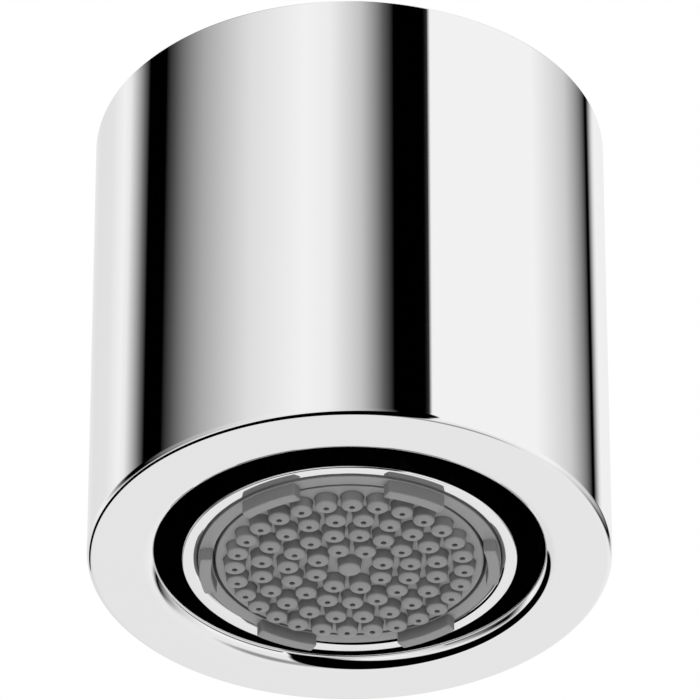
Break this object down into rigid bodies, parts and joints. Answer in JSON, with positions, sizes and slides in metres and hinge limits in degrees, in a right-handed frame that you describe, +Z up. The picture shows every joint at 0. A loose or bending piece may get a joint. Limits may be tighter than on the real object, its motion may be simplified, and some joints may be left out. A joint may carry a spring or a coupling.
{
  "type": "shower head",
  "caption": "Short chromed cylinder shower head with a female pipe thread on top and a round spray insert of soft nozzles that swivels on a ball inside the open lower end.",
  "frame": {"origin": "centre of the inlet thread's mouth, on the flat top face", "axes": "+Z up along the cylinder's axis, out of the inlet; the spray leaves along -Z; +X and +Y are free directions of a round part, with the picture taken from -Y and below"},
  "size_m": [0.05, 0.05, 0.0494],
  "materials": {
    "chrome": "polished chrome plate",
    "nozzle_silicone": "smooth moulded silicone",
    "ring_plastic": "smooth moulded plastic",
    "bare_brass": "turned",
    "black_rubber": "moulded",
    "white_plastic": "moulded",
    "steel_sheet": "perforated sheet"
  },
  "bodies": {
    "shell": {"body_shell": "chrome", "inlet_washer": "black_rubber", "inlet_strainer": "steel_sheet", "regulator_housing": "white_plastic", "regulator_ring": "black_rubber", "regulator_seal": "black_rubber", "ball_nipple": "bare_brass", "nipple_seal": "black_rubber"},
    "stop_ring": {"stop_ring": "white_plastic"},
    "spray_insert": {"insert_housing": "chrome", "ball_seal": "black_rubber", "friction_ring": "white_plastic", "retaining_nut": "bare_brass", "cartridge_seal": "black_rubber", "distributor_plate": "white_plastic", "nozzle_mat": "nozzle_silicone", "cartridge_ring": "ring_plastic"}
  },
  "joints": [
    {"name": "swivel_turn", "type": "hinge", "parent": "shell", "child": "stop_ring", "pos_m": [0, 0, -0.03487], "axis": [0, 0, 1], "continuous": true},
    {"name": "swivel_tilt", "type": "hinge", "parent": "stop_ring", "child": "spray_insert", "pos_m": [0, 0, -0.03487], "axis": [1, 0, 0], "range_deg": [-8, 8]}
  ]
}
